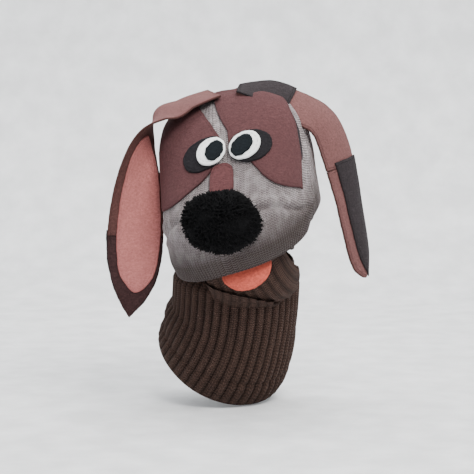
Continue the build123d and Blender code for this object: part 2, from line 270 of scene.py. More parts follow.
class Graph:
    """A material's nodes, made one line at a time."""

    def __init__(self, name, roughness=0.9, sheen=0.3, sheen_tint=(1, 1, 1, 1)):
        self.material = bpy.data.materials.new(name)
        self.material.use_nodes = True
        self.tree = self.material.node_tree
        self.shader = self.tree.nodes["Principled BSDF"]
        self.shader.inputs["Roughness"].default_value = roughness
        self.shader.inputs["Sheen Weight"].default_value = sheen
        self.shader.inputs["Sheen Roughness"].default_value = 0.5
        self.shader.inputs["Sheen Tint"].default_value = sheen_tint
        self.shader.inputs["Specular IOR Level"].default_value = 0.15
        self.coords = self.tree.nodes.new("ShaderNodeTexCoord")

    def put(self, socket, value):
        if isinstance(value, bpy.types.NodeSocket):
            self.tree.links.new(value, socket)
        else:
            socket.default_value = value

    def math(self, operation, a, b=0.0, c=0.0):
        node = self.tree.nodes.new("ShaderNodeMath")
        node.operation = operation
        for socket, value in zip(node.inputs, (a, b, c)):
            self.put(socket, value)
        return node.outputs[0]

    def noise(self, scale, detail=3.0, stretch=(1, 1, 1), turn=(0, 0, 0), roughness=0.55):
        """A noise in the object's own metres; scale is features per metre."""
        shift = self.tree.nodes.new("ShaderNodeMapping")
        shift.inputs["Scale"].default_value = stretch
        shift.inputs["Rotation"].default_value = turn
        self.tree.links.new(self.coords.outputs["Object"], shift.inputs["Vector"])
        node = self.tree.nodes.new("ShaderNodeTexNoise")
        node.inputs["Scale"].default_value = scale
        node.inputs["Detail"].default_value = detail
        node.inputs["Roughness"].default_value = roughness
        self.tree.links.new(shift.outputs[0], node.inputs["Vector"])
        return node.outputs[0]

    def uv(self):
        split = self.tree.nodes.new("ShaderNodeSeparateXYZ")
        self.tree.links.new(self.coords.outputs["UV"], split.inputs[0])
        return split.outputs[0], split.outputs[1]

    def blend(self, share, a, b):
        node = self.tree.nodes.new("ShaderNodeMix")
        node.data_type = "RGBA"
        self.put(node.inputs[0], share)
        self.put(node.inputs[6], a)
        self.put(node.inputs[7], b)
        return node.outputs[2]

    def range(self, value, low, high, to_low=0.0, to_high=1.0):
        node = self.tree.nodes.new("ShaderNodeMapRange")
        for socket, v in zip(node.inputs, (value, low, high, to_low, to_high)):
            self.put(socket, v)
        return node.outputs[0]

    def colour(self, value):
        self.put(self.shader.inputs["Base Color"], value)

    def bump(self, height, distance, strength=1.0):
        node = self.tree.nodes.new("ShaderNodeBump")
        node.inputs["Distance"].default_value = distance
        node.inputs["Strength"].default_value = strength
        self.put(node.inputs["Height"], height)
        self.tree.links.new(node.outputs[0], self.shader.inputs["Normal"])


def tone(rgb, factor):
    """A colour made lighter or darker by a factor."""
    return tuple(min(1.0, c * factor) for c in linear(rgb)[:3]) + (1.0,)


def felt(name, rgb, mottle=0.24, edge=0.6, sheen=0.22):
    """Pressed wool: matted fibres, soft blotches, painted shade along the cut edge, and a line of stitches.
    """
    g = Graph(name, roughness=0.95, sheen=sheen, sheen_tint=tone(rgb, 2.2))
    fibres = g.noise(820, 4.0, (1.0, 0.35, 1.0), (0.4, 0.2, 0.9), 0.7)
    cross = g.noise(950, 3.0, (0.3, 1.0, 0.8), (1.1, 0.6, 0.3), 0.65)
    blotch = g.noise(95, 3.0)
    weave = g.math("MAXIMUM", fibres, cross)
    base = g.blend(g.range(weave, 0.42, 0.72), tone(rgb, 1 - mottle), tone(rgb, 1 + mottle * 1.4))
    base = g.blend(g.range(blotch, 0.35, 0.7, 0.0, 0.4), base, tone(rgb, 0.8))
    inset, along = g.uv()
    # painted shade: the felt darkens towards its cut edge, where its thickness turns away from the light
    edge_shade = g.range(inset, 0.0, 1.3, edge, 0.0)
    base = g.blend(edge_shade, base, tone(rgb, 0.45))
    near = g.math("LESS_THAN", g.math("ABSOLUTE", g.math("SUBTRACT", inset, 1.75)), 0.26)
    dash = g.math("LESS_THAN", g.math("FRACT", g.math("DIVIDE", along, 3.4)), 0.58)
    stitch = g.math("MULTIPLY", near, dash)
    base = g.blend(g.math("MULTIPLY", stitch, 0.3), base, tone(rgb, 0.42))
    g.colour(base)
    height = g.math("SUBTRACT", g.math("ADD", fibres, g.math("MULTIPLY", cross, 0.7)),
                    g.math("MULTIPLY", stitch, 0.5))
    g.bump(height, 0.00055, 0.9)
    return g.material


def knit(name, rgb, light, deep, relief=0.0006, heather=0.5, lip=None, ribbed=False):
    """Stocking stitch: columns of nested Vs, read from a UV of wales and courses, with painted shade in the
    gaps between stitches, in the rib furrows and towards the lip.
    """
    g = Graph(name, roughness=0.92, sheen=0.22, sheen_tint=tone(light, 1.3))
    wale, course = g.uv()
    across_wale = g.math("ABSOLUTE", g.math("SUBTRACT", g.math("FRACT", wale), 0.5))
    v = g.math("FRACT", g.math("SUBTRACT", course, g.math("MULTIPLY", across_wale, 1.15)))
    leg = g.math("SINE", g.math("MULTIPLY", v, math.pi))
    ditch = g.range(across_wale, 0.40, 0.5, 1.0, 0.0)
    spine = g.range(across_wale, 0.0, 0.10, 0.45, 1.0)
    height = g.math("MULTIPLY", g.math("MULTIPLY", leg, ditch), spine)
    fuzz = g.noise(1700, 4.0, (1, 1, 0.5), (0.2, 0.5, 0.1), 0.7)
    cloudy = g.noise(210, 4.0, (1, 1, 0.6))
    # painted shade: the stitch colour falls to the deep tone where the stitch relief is low, in the gaps
    # between the Vs and the wales
    base = g.blend(g.range(height, 0.05, 0.75), tone(rgb, deep), tone(rgb, 1.0))
    base = g.blend(g.range(cloudy, 0.42, 0.68, 0.0, heather), base, tone(light, 1.0))
    base = g.blend(g.range(fuzz, 0.5, 0.75, 0.0, 0.35), base, tone(light, 1.15))
    if ribbed:
        # painted shade: the furrows between the ribs are darkened as though in shade
        place = g.math("FRACT", g.math("MULTIPLY", g.math("SUBTRACT", wale, 0.5), 0.5))
        furrow = g.math("ABSOLUTE", g.math("SUBTRACT", place, 0.5))
        base = g.blend(g.range(furrow, 0.03, 0.24, 0.85, 0.0), base, tone(rgb, 0.28))
    if lip is not None:
        # painted shade: towards the lip the knit blends into the lip colour, as the muzzle's underside is in
        # shade
        base = g.blend(g.range(course, 5.5, 17.0, 0.96, 0.0), base, tone(lip, 1.0))
    g.colour(base)
    g.bump(g.math("ADD", height, g.math("MULTIPLY", fuzz, 0.45)), relief)
    return g.material


def yarn(name, rgb, light):
    """Spun wool, darker between its fibres."""
    g = Graph(name, roughness=0.85, sheen=0.35, sheen_tint=tone(light, 1.0))
    fuzz = g.noise(2200, 3.0, (1, 1, 0.4), (0.7, 0.3, 0.2))
    g.colour(g.blend(g.range(fuzz, 0.45, 0.8), tone(rgb, 0.8), tone(light, 0.6)))
    g.bump(fuzz, 0.0004)
    return g.material


def plain(name, rgb, roughness, grain):
    """Card or moulded board, with a faint tooth."""
    g = Graph(name, roughness=roughness, sheen=0.0)
    tooth = g.noise(grain, 3.0)
    g.colour(g.blend(g.range(tooth, 0.35, 0.7), tone(rgb, 0.9), tone(rgb, 1.06)))
    g.bump(tooth, 0.0001)
    return g.material


# the head knit's lip colour is painted shade for the underside of the muzzle, which the light from above
# leaves dark
head_knit = knit("head_knit", (150, 139, 139), (196, 188, 188), 0.14, relief=0.0010, lip=(46, 34, 30))
rib_knit = knit("rib_knit", (60, 44, 38), (88, 67, 58), 0.30, heather=0.18, ribbed=True)
mauve = felt("mauve_felt", (78, 50, 51))
light_mauve = felt("light_mauve_felt", (104, 71, 69))
# painted shade: a darker copy of the ears' mauve felt, for their inner faces, which are turned away from the
# light
shade_painted_mauve = felt("shaded_mauve_felt", (80, 52, 49))
charcoal = felt("charcoal_felt", (42, 37, 39), mottle=0.3)
temple_felt = felt("temple_felt", (54, 36, 36), mottle=0.3)
dark_brown = felt("dark_brown_felt", (54, 43, 40), mottle=0.25)
surround_felt = felt("surround_felt", (28, 26, 29), mottle=0.3)
bridge_felt = felt("bridge_felt", (90, 56, 57))
pink = felt("pink_felt", (168, 103, 99))
coral = felt("coral_felt", (190, 88, 73), edge=0.25)
white = felt("white_felt", (246, 248, 247), mottle=0.05, edge=0.18, sheen=0.1)
pupil_felt = felt("pupil_felt", (17, 22, 26), mottle=0.3, edge=0.3)
mouth_red = felt("mouth_felt", (72, 44, 42))
wool_black = yarn("black_wool", (3, 3, 4), (20, 20, 24))
card = plain("mouth_card", (150, 140, 128), 0.75, 900)
stuffing = felt("stuffing", (222, 216, 204), mottle=0.1)


# ---- felt cut to an outline and laid on a surface ----------------------------------------------------
def resample(outline, step):
    """A closed outline of short, even steps."""
    pts = np.asarray(outline, float)
    loop = np.vstack([pts, pts[:1]])
    along = np.concatenate([[0], np.cumsum(np.linalg.norm(np.diff(loop, axis=0), axis=1))])
    count = max(12, int(round(along[-1] / step)))
    marks = np.arange(count) * along[-1] / count
    return np.stack([np.interp(marks, along, loop[:, k]) for k in (0, 1)], -1), marks


def signed_area(pts):
    """The area of a closed outline, positive when it runs counterclockwise."""
    x, y = pts[:, 0], pts[:, 1]
    return 0.5 * np.sum(x * np.roll(y, -1) - np.roll(x, -1) * y)


def inward(pts):
    """Unit normals into a counterclockwise outline, smoothed over its corners."""
    tangent = np.roll(pts, -1, 0) - np.roll(pts, 1, 0)
    normal = np.stack([-tangent[:, 1], tangent[:, 0]], -1)
    for _ in range(2):
        normal = (np.roll(normal, 1, 0) + 2 * normal + np.roll(normal, -1, 0)) / 4
    return normal / np.maximum(np.linalg.norm(normal, axis=1, keepdims=True), 1e-9)


def distance_to(pts, loop):
    """Distance from each point to a closed loop of short steps."""
    best = np.full(len(pts), 1e9)
    for p, q in zip(loop, np.roll(loop, -1, 0)):
        d = q - p
        t = np.clip(((pts - p) @ d) / max(d @ d, 1e-9), 0, 1)
        best = np.minimum(best, np.hypot(*(pts - p - t[:, None] * d).T))
    return best


def inside(pts, loop):
    """Which points lie inside a closed loop."""
    x, y = pts[:, 0], pts[:, 1]
    hit = np.zeros(len(pts), bool)
    for (ax, ay), (bx, by) in zip(loop, np.roll(loop, -1, 0)):
        hit ^= ((ay > y) != (by > y)) & (x < (bx - ax) * (y - ay) / (by - ay + 1e-12) + ax)
    return hit


# The rounded cut edge and the dip of the stitch line: inset from the outline, share of the thickness.
EDGE_RINGS = ((0.35, 0.0), (0.0, 0.30), (0.05, 0.66), (0.4, 0.95), (1.1, 1.0), (1.75, 0.86), (2.4, 1.0))
STITCHED_WIDTH = 9.0
DEEPEST = 30.0


def slab(name, outline, place, lift, thick, step=1.3, wander=0.18, back=None):
    """Felt of a real thickness on place(u, v, lift), with a rounded, slightly wavering cut edge."""
    loop, marks = resample(outline, 0.9)
    if signed_area(loop) < 0:
        loop, marks = loop[::-1], marks[::-1]
    phase = rng.uniform(0, 6.28, 3)
    around = marks / max(marks.max(), 1e-9) * 2 * math.pi
    waver = wander * (np.sin(9 * around + phase[0]) + 0.7 * np.sin(23 * around + phase[1])
                      + 0.5 * np.sin(51 * around + phase[2]))
    normal = inward(loop)
    loop = loop + normal * waver[:, None] * 0.5
    narrow = min(np.ptp(loop[:, 0]), np.ptp(loop[:, 1])) < STITCHED_WIDTH
    rings = EDGE_RINGS[:5] if narrow else EDGE_RINGS
    flat = [loop + normal * inset for inset, _ in rings]
    shares = [share for _, share in rings]
    low, high = loop.min(0), loop.max(0)
    xs = np.arange(low[0], high[0] + step, step)
    ys = np.arange(low[1], high[1] + step, step)
    grid = np.stack(np.meshgrid(xs, ys), -1).reshape(-1, 2)
    grid = grid + rng.uniform(-0.12, 0.12, grid.shape) * step
    grid = grid[inside(grid, loop)]
    grid = grid[distance_to(grid, loop) > rings[-1][0] + step * 0.55]
    count = len(loop)
    last = flat[-1]
    coords = [Vector(p) for p in last] + [Vector(p) for p in grid]
    edges = [(i, (i + 1) % count) for i in range(count)]
    triangulated = delaunay_2d_cdt(coords, edges, [], 1, 1e-4)
    where = np.array([tuple(p) for p in triangulated[0]])
    top_start = (len(rings) - 1) * count
    owner = {new: original for new, originals in enumerate(triangulated[3]) for original in originals}
    faces = grid_faces(len(rings), count, True)
    order = []
    extra = []
    for new in range(len(where)):
        old = owner.get(new)
        if old is not None and old < count:
            order.append(top_start + old)
        else:
            order.append(top_start + count + len(extra))
            extra.append(where[new])
    for triangle in triangulated[2]:
        faces.append(tuple(order[i] for i in triangle))
    front_count = len(faces)
    extra = np.array(extra).reshape(-1, 2)
    back_start = top_start + count + len(extra)
    faces += [tuple(back_start + i for i in triangle[::-1]) for triangle in triangulated[2]]
    link = {old: back_start + new for new, old in owner.items() if old < count}
    for i in range(count):
        j = (i + 1) % count
        if i in link and j in link:
            faces.append((link[i], link[j], j, i))

    flat_points = np.vstack(flat + [extra, where])
    share = np.concatenate([np.full(count, h) for h in shares] + [np.ones(len(extra)), np.zeros(len(where))])
    deep = np.concatenate([np.full(count, inset) for inset, _ in rings]
                          + [np.minimum(distance_to(pts, loop), DEEPEST) for pts in (extra, where)])
    along = np.concatenate([marks] * len(rings) + [np.zeros(len(extra) + len(where))])
    raised = lift + thick * share
    points = place(flat_points[:, 0], flat_points[:, 1], raised)
    points = points + soft_noise(points, 3.1)[:, None] * 0.10
    obj = make_object(name, points, faces, np.stack([deep, along], -1))
    if back is not None:
        obj["back_from"] = front_count
    return obj


def on_head(x, z, lift):
    """A point across the face at a height, lifted off the head's surface."""
    angle = face_angle(x, z)
    spot = head_point(angle, np.minimum(z, CROWN - 0.05))
    sunk = crease_push(spot[..., 0], z) * 0.8
    return to_world(spot + head_normal(angle, z) * (np.asarray(lift) + sunk)[..., None])


def curve(points, count=14, closed=False):
    """A smooth run of points through the ones given."""
    pts = np.asarray(points, float)
    if closed:
        pts = np.vstack([pts[-1:], pts, pts[:2]])
        t = np.linspace(1 / (len(pts) - 1), 1 - 1 / (len(pts) - 1), count * (len(pts) - 3), endpoint=False)
        return spline(pts, t)
    return spline(pts, np.linspace(0, 1, count * (len(pts) - 1)))


def ellipse(centre, size, turn, squareness, count=64):
    """A squared ellipse, with size as its two radii and turn in radians."""
    a = np.linspace(0, 2 * math.pi, count, endpoint=False)
    x = size[0] * power(np.cos(a), 2 / squareness)
    y = size[1] * power(np.sin(a), 2 / squareness)
    c, s = math.cos(turn), math.sin(turn)
    return np.stack([centre[0] + x * c - y * s, centre[1] + x * s + y * c], -1)


# ---- head skin -------------------------------------------------------------------------------------------
WALES = 150
PER_WALE = 4
COLUMNS = WALES * PER_WALE
ROWS = 150
COURSE = 1.7
LIP_TURN = ((6.5, 1.6), (4.2, 0.6), (2.6, -0.9), (1.2, -1.3), (0.25, -0.8))


def head_bottom(angle):
    """Height of the head's lower edge: the lip in front, the nape behind."""
    z = np.full(angle.shape, 6.0)
    for _ in range(6):
        spot = head_point(angle, z)
        lip = 4 + 0.10 * spot[:, 0] + 0.33 * (spot[:, 1] + 60)
        nape = pivot[2] + 4.0
        z = lip + (nape - lip) * smooth((spot[:, 1] + 14) / 26)
    return z


angles = np.linspace(-math.pi, math.pi, COLUMNS, endpoint=False)
bottom = head_bottom(angles)
wave = np.cos(np.arange(COLUMNS) * 2 * math.pi / PER_WALE)
rows = []
for r in range(ROWS):
    share = r / (ROWS - 1)
    z = bottom + (TOP_ROW - bottom) * (1 - (1 - share) ** 1.35)
    spot = head_point(angles, z)
    normal = head_normal(angles, z)
    front_only = np.cos(angles) > 0
    push = np.where(front_only, crease_push(spot[:, 0], z), 0.0)
    ridge = 0.20 * wave * smooth((CROWN - z) / 6)
    lump = soft_noise(spot, 13.0) * 0.7 + soft_noise(spot, 5.0, 2.0) * 0.18
    spot = spot + normal * (push + ridge + lump * smooth((z - bottom) / 10))[:, None]
    rows.append(spot)
rows = np.array(rows)
length = np.concatenate([np.zeros((1, COLUMNS)),
                         np.cumsum(np.linalg.norm(np.diff(rows, axis=0), axis=2), axis=0)])
under = []
under_length = []
opening_middle = np.array([-4.0, -20.0, 0.0])
for inset, rise in LIP_TURN:
    edge = rows[0].copy()
    aim = opening_middle - edge
    aim[:, 2] = 0
    aim /= np.linalg.norm(aim, axis=1, keepdims=True)
    edge += aim * inset
    edge[:, 2] += rise + aim[:, 1] * inset * 0.33
    under.append(edge)
    under_length.append(np.full(COLUMNS, -inset))
full = np.vstack([np.array(under), rows])
course = np.vstack([np.array(under_length), length]) / COURSE
wale = np.tile(np.arange(COLUMNS) / PER_WALE + 0.5, (len(full), 1))
head_points = to_world(full.reshape(-1, 3))
head_uv = np.stack([wale.ravel(), course.ravel()], -1)
faces = grid_faces(len(full), COLUMNS, True)
top = len(head_points)
head_points = np.vstack([head_points, to_world(rows[-1].mean(0, keepdims=True))])
head_uv = np.vstack([head_uv, [[0.5, length[-1].mean() / COURSE]]])
faces += [((len(full) - 1) * COLUMNS + i, (len(full) - 1) * COLUMNS + (i + 1) % COLUMNS, top)
          for i in range(COLUMNS)]
head_skin = make_object("head_knit_skin", head_points, faces, head_uv)
finish(head_skin, head_knit, "head", ("head_shell",))

# ---- face ------------------------------------------------------------------------------------------------
patch_right = np.vstack([[(-25, 111), (-15.5, 101), (-8, 92), (-2, 84), (-3, 79)],
                         curve([(-3, 79), (-8, 65), (-21, 56), (-38, 48), (-56, 44)]),
                         [(-57, 60), (-54, 80), (-47, 99), (-36, 109.5)]])
patch_left = np.vstack([[(-12, 111), (-5, 99), (3, 86), (4, 79)],
                        curve([(4, 79), (17, 67), (29, 52), (45, 41)]),
                        [(46.5, 62), (44, 82), (40, 101), (26, 110.5)]])
finish(slab("eye_patch_felt_right", patch_right, on_head, 0.3, 1.2), mauve, "head",
       ("eye_patch_right",))
finish(slab("eye_patch_felt_left", patch_left, on_head, 0.3, 1.2), mauve, "head",
       ("eye_patch_left",))
SURROUNDS = (("right", (-12.3, 75.0), (14.4, 9.4), 12), ("left", (17.5, 74.6), (13.4, 9.2), -8))
EYES = (("right", (-6.9, 75.2), (-4.3, 74.8), (6.2, 5.3)), ("left", (14.7, 74.8), (13.4, 74.6), (7.0, 5.3)))
for side, centre, size, degrees in SURROUNDS:
    surround = ellipse(centre, size, math.radians(degrees), 2.2)
    finish(slab("eye_surround_felt_" + side, surround, on_head, 1.4, 1.25), surround_felt, "head",
           ("eye_surround_" + side,))
for side, centre, pupil_centre, pupil_size in EYES:
    disc = ellipse(centre, (9.7, 7.9), 0.1, 2.1)
    finish(slab("eye_white_felt_" + side, disc, on_head, 2.6, 1.7, wander=0.12), white, "head",
           ("eye_white_" + side,))
    pupil = ellipse(pupil_centre, pupil_size, 0.5, 2.2, 40)
    finish(slab("pupil_felt_" + side, pupil, on_head, 4.25, 1.1, wander=0.3), pupil_felt, "head",
           ("pupil_" + side,))
temple = [(34, 93), (43, 90), (48.5, 76), (49.5, 62), (46, 57), (43, 70), (41, 82)]
finish(slab("temple_felt_left", temple, on_head, 0.25, 0.7), charcoal, "head")
bridge_top = curve([(7.2, 60), (5.5, 66.3), (-1, 68.4), (-7.2, 66), (-9, 59)])
bridge = np.vstack([[(-9, 47), (7, 47), (7.2, 60)], bridge_top])
finish(slab("nose_bridge_felt", bridge, on_head, 0.4, 1.3), bridge_felt, "head",
       ("nose_bridge",))

# ---- pom-pom nose ----------------------------------------------------------------------------------------
low, high = (np.array(c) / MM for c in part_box("nose_pompom"))
NOSE_SHIFT = np.array([1.6, 0.5, 1.8])
nose = (low + high) / 2 + NOSE_SHIFT
radii = (high - low) / 2
ball = bmesh.new()
bmesh.ops.create_icosphere(ball, subdivisions=5, radius=1.0)
unit = np.array([tuple(v.co) for v in ball.verts])
ball_faces = [[v.index for v in f.verts] for f in ball.faces]
ball.free()
rough = 0.84 + 0.05 * soft_noise(unit, 0.23) + 0.03 * soft_noise(unit, 0.09, 1.0)
core = make_object("pompom_core", nose + unit * radii * rough[:, None], ball_faces,
                   np.stack([unit[:, 0] * 20, unit[:, 2] * 20], -1))

STRANDS = 5200
STRAND_STEPS, STRAND_SIDES = 5, 3
STRAND_RADIUS, STRAND_TIP_RADIUS = 0.62, 0.30
ROOT = 0.72
golden = math.pi * (3 - math.sqrt(5))
index = np.arange(STRANDS)
height = 1 - 2 * (index + 0.5) / STRANDS
ring = np.sqrt(1 - height ** 2)
direction = np.stack([np.cos(golden * index) * ring, np.sin(golden * index) * ring, height], -1)
direction += rng.normal(0, 0.05, direction.shape)
direction /= np.linalg.norm(direction, axis=1, keepdims=True)
tuft = 0.93 + 0.07 * soft_noise(direction, 0.22, 4.0) + rng.normal(0, 0.03, STRANDS)
bend = rng.normal(0, 1, (STRANDS, 3))
bend -= np.sum(bend * direction, 1, keepdims=True) * direction
points = []
helper = np.cross(direction, [0.31, 0.52, 0.79])
helper /= np.linalg.norm(helper, axis=1, keepdims=True)
other = np.cross(direction, helper)
for k in range(STRAND_STEPS):
    t = k / (STRAND_STEPS - 1)
    middle = nose + direction * radii * (ROOT + (tuft[:, None] - ROOT) * t) \
        + bend * (1.5 * t * t) + helper * (0.5 * math.sin(5 * t))
    thickest = STRAND_RADIUS if k < STRAND_STEPS - 1 else STRAND_TIP_RADIUS
    girth = thickest * (0.8 + 0.4 * rng.random(STRANDS))
    for j in range(STRAND_SIDES):
        a = 2 * math.pi * j / STRAND_SIDES
        points.append(middle + (helper * math.cos(a) + other * math.sin(a)) * girth[:, None])
points = np.array(points).transpose(1, 0, 2).reshape(-1, 3)
per_strand = STRAND_STEPS * STRAND_SIDES
one_strand = grid_faces(STRAND_STEPS, STRAND_SIDES, True)
one_strand.append(tuple(range(per_strand - STRAND_SIDES, per_strand)))
faces = []
for face in one_strand:
    faces += (np.array(face)[None, :] + (index * per_strand)[:, None]).tolist()
strands = make_object("pompom_yarn", points, faces)
finish(core, wool_black, "head", ("nose_pompom",))
finish(strands, wool_black, "head")

# ---- soft pieces that follow a CAD solid -----------------------------------------------------------------
def soften(node, name, voxel, rounds, relief=None):
    """A soft copy of a CAD solid: remeshed, its corners rounded, then textured along its normals."""
    source = frame["nodes"][node]
    obj = bpy.data.objects.new(name, source.data.copy())
    bpy.context.scene.collection.objects.link(obj)
    mod = obj.modifiers.new("remesh", "REMESH")
    mod.mode = "VOXEL"
    mod.voxel_size = voxel * MM
    mod = obj.modifiers.new("smooth", "SMOOTH")
    mod.iterations = rounds
    mod.factor = 0.6
    depsgraph = bpy.context.evaluated_depsgraph_get()
    mesh = bpy.data.meshes.new_from_object(obj.evaluated_get(depsgraph))
    bpy.data.objects.remove(obj)
    count = len(mesh.vertices)
    points = np.zeros(count * 3)
    normals = np.zeros(count * 3)
    mesh.vertices.foreach_get("co", points)
    mesh.vertices.foreach_get("normal", normals)
    points = points.reshape(-1, 3) / MM
    normals = normals.reshape(-1, 3)
    faces = [tuple(p.vertices) for p in mesh.polygons]
    uvs = np.stack([np.full(count, 5.0), np.zeros(count)], -1)
    if relief is not None:
        points, uvs = relief(points, normals)
    return make_object(name, points, faces, uvs)


CHIN_COLUMNS, CHIN_ROWS = 168, 60
CHIN_HALF, CHIN_CORNER, CHIN_SWELL = 28.0, 17, 26.5
RIB_PITCH, RIB_COURSE = 5.8, 1.9
mouth_back_axis = np.cross(mouth_up, jaw_across)


def chin_reach(u):
    """Radius of the chin about the jaw's hinge, rounded off at its sides."""
    rounded = np.clip(1 - np.abs(u / (CHIN_HALF + 0.3)) ** 3.0, 0, 1)
    return CHIN_CORNER + CHIN_SWELL * np.power(rounded, 1 / 3.0)


def chin_row(angle, shrink):
    """One row of the chin across the jaw, at an angle below the mouth line."""
    u = np.linspace(-CHIN_HALF, CHIN_HALF, CHIN_COLUMNS)
    reach = chin_reach(u) + 0.45 * np.cos((u + 1.0) / RIB_PITCH * 2 * math.pi) - shrink
    direction = -mouth_back_axis * math.cos(angle) - mouth_up * math.sin(angle)
    return jaw_hinge + u[:, None] * jaw_across + reach[:, None] * direction


chin, chin_course = [], []
for angle, shrink in ((6, 5.0), (2, 3.2), (-1.0, 1.7), (-2.2, 0.8)):
    chin.append(chin_row(math.radians(angle), shrink))
    chin_course.append(-shrink)
for r in range(CHIN_ROWS):
    angle = math.radians(-1.4 + 84 * r / (CHIN_ROWS - 1))
    chin.append(chin_row(angle, 0.0))
    chin_course.append(43 * angle)
for angle, shrink in ((83, 1.6), (60, 1.9), (30, 1.9), (10, 1.9)):
    chin.append(chin_row(math.radians(angle), shrink))
    chin_course.append(62 + shrink)
chin = np.array(chin)
chin_wale = np.linspace(-CHIN_HALF, CHIN_HALF, CHIN_COLUMNS) / (RIB_PITCH / 2) + 0.5
chin_uv = np.stack([np.tile(chin_wale, (len(chin), 1)),
                    np.repeat(np.array(chin_course)[:, None], CHIN_COLUMNS, 1) / RIB_COURSE], -1)
chin_piece = make_object("chin_rib_knit", chin.reshape(-1, 3), grid_faces(len(chin), CHIN_COLUMNS, False),
                         chin_uv.reshape(-1, 2))
finish(chin_piece, rib_knit, "jaw", ("chin_pocket",))

STUFFING_GAP = 4.5


def under_the_knit(points, normals):
    """Lumpy stuffing, kept clear of the knit over it."""
    lumps = soft_noise(points, 9.0) * 0.9 - STUFFING_GAP
    uvs = np.stack([np.full(len(points), 5.0), np.zeros(len(points))], -1)
    return points + normals * lumps[:, None], uvs


finish(soften("mouth_lining_upper", "mouth_felt_upper", 0.7, 2), mouth_red, "head",
       ("mouth_lining_upper",))
finish(soften("mouth_lining_lower", "mouth_felt_lower", 0.7, 2), mouth_red, "jaw",
       ("mouth_lining_lower",))
padding = soften("head_padding", "head_stuffing", 2.2, 4, under_the_knit)
finish(padding, stuffing, "head", ("head_padding",))
for node in ("mouth_plate_upper", "mouth_plate_lower"):
    frame["nodes"][node].data.materials.clear()
    frame["nodes"][node].data.materials.append(card)

# ---- sleeve ------------------------------------------------------------------------------------------------
def tree_of(*nodes):
    """A search tree over the triangles of some CAD nodes, in millimetres."""
    verts, faces = [], []
    for node in nodes:
        mesh = frame["nodes"][node].data
        base = len(verts)
        verts += [tuple(v.co / MM) for v in mesh.vertices]
        faces += [[base + i for i in p.vertices] for p in mesh.polygons]
    return BVHTree.FromPolygons(verts, faces)


wrist_axis = np.array([0.07, -0.20, 0.98])
wrist_axis /= np.linalg.norm(wrist_axis)
hem_end = np.zeros(3)
hem_handle = -opening_axis * 30
wrist_handle = wrist - wrist_axis * 26
wrist_end = wrist + wrist_axis * 5.6
sleeve_tree = tree_of("rib_sleeve", "rib_collar", "cuff_hem")


def sleeve_centre(t):
    """The sleeve's middle line, a cubic from the hem to the wrist, with its direction."""
    point = ((1 - t) ** 3 * hem_end + 3 * (1 - t) ** 2 * t * hem_handle
             + 3 * (1 - t) * t * t * wrist_handle + t ** 3 * wrist_end)
    tangent = (3 * (1 - t) ** 2 * (hem_handle - hem_end) + 6 * (1 - t) * t * (wrist_handle - hem_handle)
               + 3 * t * t * (wrist_end - wrist_handle))
    return point, tangent / np.linalg.norm(tangent)


RIBS = 44
RIB_COLUMNS = RIBS * 10
SLEEVE_ROWS = 84
LINE_START, LINE_SPAN = 0.004, 0.990
OUTSIDE, LEAST_RADIUS = 90, 30
COARSE = 96
turn = np.linspace(0, 2 * math.pi, RIB_COLUMNS, endpoint=False)
coarse_turn = np.linspace(0, 2 * math.pi, COARSE, endpoint=False)


def sleeve_frame(t):
    """A point of the middle line, with the directions to the front and to the side of its ring."""
    point, tangent = sleeve_centre(t)
    forward = np.array([0, -1.0, 0])
    forward -= forward @ tangent * tangent
    forward /= np.linalg.norm(forward)
    return point, forward, np.cross(tangent, forward)


radius = np.zeros((SLEEVE_ROWS, COARSE))
for r in range(SLEEVE_ROWS):
    t = LINE_START + LINE_SPAN * r / (SLEEVE_ROWS - 1)
    point, forward, side = sleeve_frame(t)
    for c, a in enumerate(coarse_turn):
        ray = forward * math.cos(a) + side * math.sin(a)
        hit = sleeve_tree.ray_cast(Vector(point + ray * OUTSIDE), Vector(-ray), OUTSIDE)
        radius[r, c] = np.linalg.norm(np.array(hit[0]) - point) if hit[0] is not None else np.nan
for c in range(COARSE):
    column = radius[:, c]
    bad = np.isnan(column) | (column < LEAST_RADIUS)
    if bad.any() and not bad.all():
        column[bad] = np.interp(np.flatnonzero(bad), np.flatnonzero(~bad), column[~bad])
for _ in range(5):
    radius = (np.roll(radius, 1, 1) + 2 * radius + np.roll(radius, -1, 1)) / 4
    radius[1:-1] = (radius[:-2] + 2 * radius[1:-1] + radius[2:]) / 4
share_up = np.linspace(0, 1, SLEEVE_ROWS)[:, None]
full_width = 41.6 - 5.8 * smooth((share_up - 0.84) / 0.11)
radius = np.where(share_up > 0.3, np.maximum(radius, full_width), radius)
from_front = np.abs((turn + math.pi) % (2 * math.pi) - math.pi)
notch = smooth((math.radians(58) - from_front) / math.radians(22))
closed_turn = np.append(coarse_turn, 2 * math.pi)
closed_radius = np.hstack([radius, radius[:, :1]])


def clear_of_chin(ring):
    """Pushes the sleeve out over the chin, so that the chin turns inside it."""
    rel = ring - jaw_hinge
    u = rel @ jaw_across
    flat = rel - u[:, None] * jaw_across
    reach = np.linalg.norm(flat, axis=1)
    want = chin_reach(u) + 1.9
    ahead = smooth((-flat @ back - 4) / 10) * smooth((CHIN_HALF + 4 - np.abs(u)) / 4)
    grow = np.clip(want - reach, 0, None) * ahead
    return ring + flat / np.maximum(reach, 1)[:, None] * grow[:, None]


def sleeve_row(share, out):
    """One ring of the sleeve; share runs from hem to top, and the front stops under the chin."""
    t = share * (1 - 0.02 * notch)
    index = t * (SLEEVE_ROWS - 1)
    low_row = np.minimum(index.astype(int), SLEEVE_ROWS - 2)
    f = index - low_row
    ring = np.zeros((RIB_COLUMNS, 3))
    for k in range(RIB_COLUMNS):
        below = np.interp(turn[k], closed_turn, closed_radius[low_row[k]])
        above = np.interp(turn[k], closed_turn, closed_radius[low_row[k] + 1])
        reach = below + (above - below) * f[k] + out[k]
        point, forward, side = sleeve_frame(LINE_START + LINE_SPAN * t[k])
        ring[k] = point + (forward * math.cos(turn[k]) + side * math.sin(turn[k])) * reach
    return clear_of_chin(ring)


